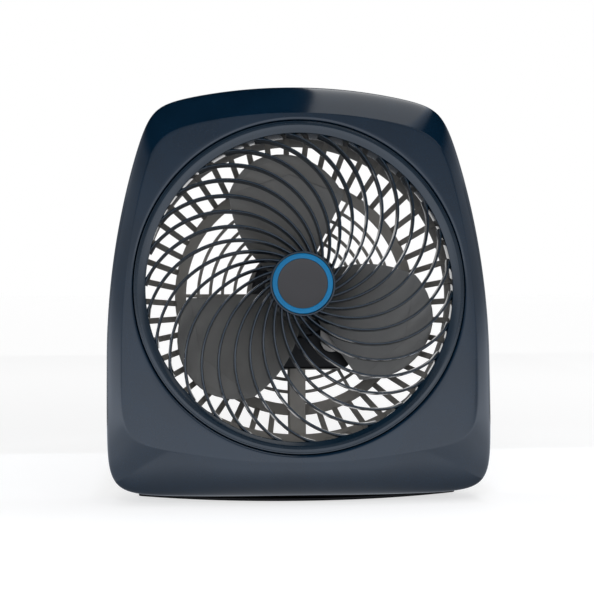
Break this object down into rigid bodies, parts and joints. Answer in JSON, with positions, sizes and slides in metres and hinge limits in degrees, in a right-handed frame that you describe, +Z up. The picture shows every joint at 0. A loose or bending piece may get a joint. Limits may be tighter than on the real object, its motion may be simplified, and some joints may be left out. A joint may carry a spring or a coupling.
{
  "type": "box fan",
  "caption": "Compact desk box fan leaning back on a low base: spiral front grille, bladed impeller on a motor, rear guard and rotary speed switch.",
  "frame": {"origin": "bottom centre of the bounding box, on the surface the feet stand on", "axes": "+Z up, -Y the side the air leaves and the badge faces, +X to the right seen from the front"},
  "size_m": [0.294, 0.1044, 0.3193],
  "materials": {
    "housing": "satin moulded deep navy plastic",
    "grille": "satin moulded navy plastic",
    "badge_blue": "gloss blue plastic",
    "badge_grey": "fine-grained dark grey plastic",
    "blades": "satin warm dark grey plastic",
    "guard": "satin warm dark grey plastic",
    "black_plastic": "moulded near-black plastic",
    "clip_grey": "mid grey plastic",
    "switch_white": "natural nylon",
    "steel": "plated steel",
    "cast_metal": "die-cast",
    "bronze": "sintered bronze",
    "copper": "enamelled copper wire",
    "lead": "black PVC insulation",
    "rubber": "soft rubber"
  },
  "bodies": {
    "body": {"front_bezel": "housing", "rear_housing": "housing", "front_grille": "grille", "badge_ring": "badge_blue", "badge_disc": "badge_grey", "motor_stator": "steel", "motor_coils": "copper", "front_bearing": "bronze", "rear_bearing": "bronze", "front_motor_bracket": "cast_metal", "rear_motor_bracket": "cast_metal", "motor_bolts": "steel", "motor_pod": "black_plastic", "lead_clip": "clip_grey", "cable_cover": "guard", "motor_lead": "lead", "rear_guard": "guard", "guard_screws": "steel", "housing_screws": "steel", "grille_screws": "steel", "switch_body": "switch_white", "switch_nut": "steel", "cord_gland": "black_plastic", "supply_lead": "lead", "foot_base": "black_plastic", "base_screws": "steel", "rubber_feet": "rubber"},
    "rotor": {"impeller": "blades", "impeller_nut": "blades", "motor_shaft": "steel", "motor_rotor": "steel"},
    "knob": {"speed_knob": "black_plastic", "switch_spindle": "steel"}
  },
  "joints": [
    {"name": "impeller_spin", "type": "hinge", "parent": "body", "child": "rotor", "pos_m": [0, -0.0052, 0.16133], "axis": [0, 0.9914, -0.1305], "continuous": true},
    {"name": "speed_knob_turn", "type": "hinge", "parent": "body", "child": "knob", "pos_m": [-0.11, 0.02208, 0.04679], "axis": [0, 0.9914, -0.1305], "range_deg": [0, 135]}
  ]
}
